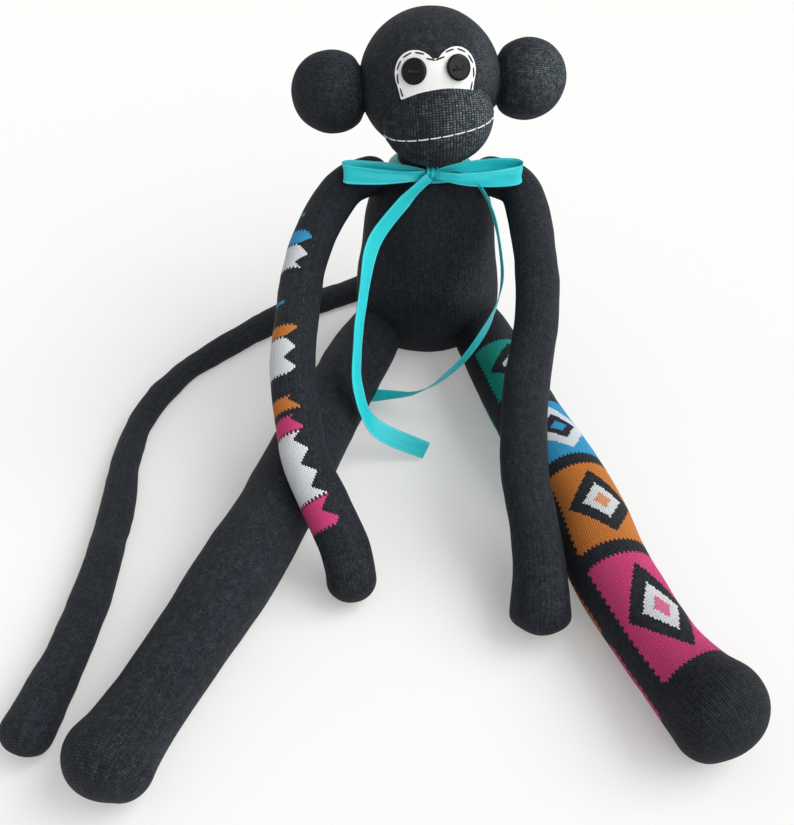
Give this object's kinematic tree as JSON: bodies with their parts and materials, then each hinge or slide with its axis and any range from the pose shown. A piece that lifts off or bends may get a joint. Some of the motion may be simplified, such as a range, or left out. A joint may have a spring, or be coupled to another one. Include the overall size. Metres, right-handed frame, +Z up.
{
  "type": "sock monkey",
  "caption": "Stuffed sock monkey sitting with long limbs, sewn from knit tubes, with a button-eyed face, a stitched mouth and a ribbon bow; head, arms, legs and tail turn at their seams.",
  "frame": {"origin": "middle of the flat seat under the body, on the floor", "axes": "+Z up, the monkey looks along -Y, its right hand is on the -X side"},
  "size_m": [0.3599, 0.4497, 0.241],
  "materials": {
    "knit_black": "fine black stockinette knit, whitish flecks where stretched",
    "knit_patterned": "black stockinette knit with coloured stepped blocks",
    "filling": "white fibre stuffing",
    "felt": "white pressed felt",
    "button": "polished black",
    "white_thread": "white cotton thread",
    "black_thread": "black cotton thread",
    "ribbon": "turquoise woven ribbon with a pale edge"
  },
  "bodies": {
    "body": {"body_cover": "knit_black", "body_filling": "filling", "neck_thread": "black_thread", "shoulder_thread_right": "black_thread", "shoulder_thread_left": "black_thread", "hip_thread_right": "black_thread", "hip_thread_left": "black_thread", "tail_thread": "black_thread", "ribbon_band": "ribbon", "ribbon_knot": "ribbon", "ribbon_loop_right": "ribbon", "ribbon_loop_left": "ribbon", "ribbon_tail_right": "ribbon", "ribbon_tail_left": "ribbon"},
    "neck": {"neck_gather": "knit_black"},
    "head": {"head_cover": "knit_black", "head_filling": "filling", "muzzle_cover": "knit_black", "muzzle_filling": "filling", "muzzle_stitches": "black_thread", "mouth_stitches": "white_thread", "ear_right_cover": "knit_black", "ear_right_filling": "filling", "ear_right_stitches": "black_thread", "ear_left_cover": "knit_black", "ear_left_filling": "filling", "ear_left_stitches": "black_thread", "eye_patch": "felt", "eye_patch_stitches": "black_thread", "eye_button_right": "button", "eye_button_left": "button", "eye_threads": "black_thread"},
    "arm_right": {"arm_right_cover": "knit_patterned", "arm_right_filling": "filling", "arm_right_stitches": "black_thread"},
    "arm_left": {"arm_left_cover": "knit_black", "arm_left_filling": "filling"},
    "leg_right": {"leg_right_cover": "knit_black", "leg_right_filling": "filling"},
    "leg_left": {"leg_left_cover": "knit_patterned", "leg_left_filling": "filling"},
    "tail": {"tail_cover": "knit_black", "tail_filling": "filling"}
  },
  "joints": [
    {"name": "neck_turn", "type": "hinge", "parent": "body", "child": "neck", "pos_m": [0, 0, 0.149], "axis": [0, 0, 1], "range_deg": [-20, 20]},
    {"name": "neck_nod", "type": "hinge", "parent": "neck", "child": "head", "pos_m": [0, 0, 0.149], "axis": [-1, 0, 0], "range_deg": [0, 15]},
    {"name": "shoulder_right_swing", "type": "hinge", "parent": "body", "child": "arm_right", "pos_m": [-0.0397, -0.005, 0.13708], "axis": [-1, 0, 0], "range_deg": [0, 45], "deforming": ["ribbon_loop_right"]},
    {"name": "shoulder_left_swing", "type": "hinge", "parent": "body", "child": "arm_left", "pos_m": [0.0397, -0.005, 0.13708], "axis": [-1, 0, 0], "range_deg": [0, 45], "deforming": ["ribbon_loop_left"]},
    {"name": "hip_right_swing", "type": "hinge", "parent": "body", "child": "leg_right", "pos_m": [-0.03802, -0.02064, 0.023], "axis": [-0.5612, 0.1748, -0.809], "range_deg": [0, 45]},
    {"name": "hip_left_swing", "type": "hinge", "parent": "body", "child": "leg_left", "pos_m": [0.03802, -0.02064, 0.023], "axis": [-0.5612, -0.1748, 0.809], "range_deg": [0, 45]},
    {"name": "tail_swing", "type": "hinge", "parent": "body", "child": "tail", "pos_m": [0, 0.04377, 0.024], "axis": [0, 0, -1], "range_deg": [0, 55]}
  ]
}
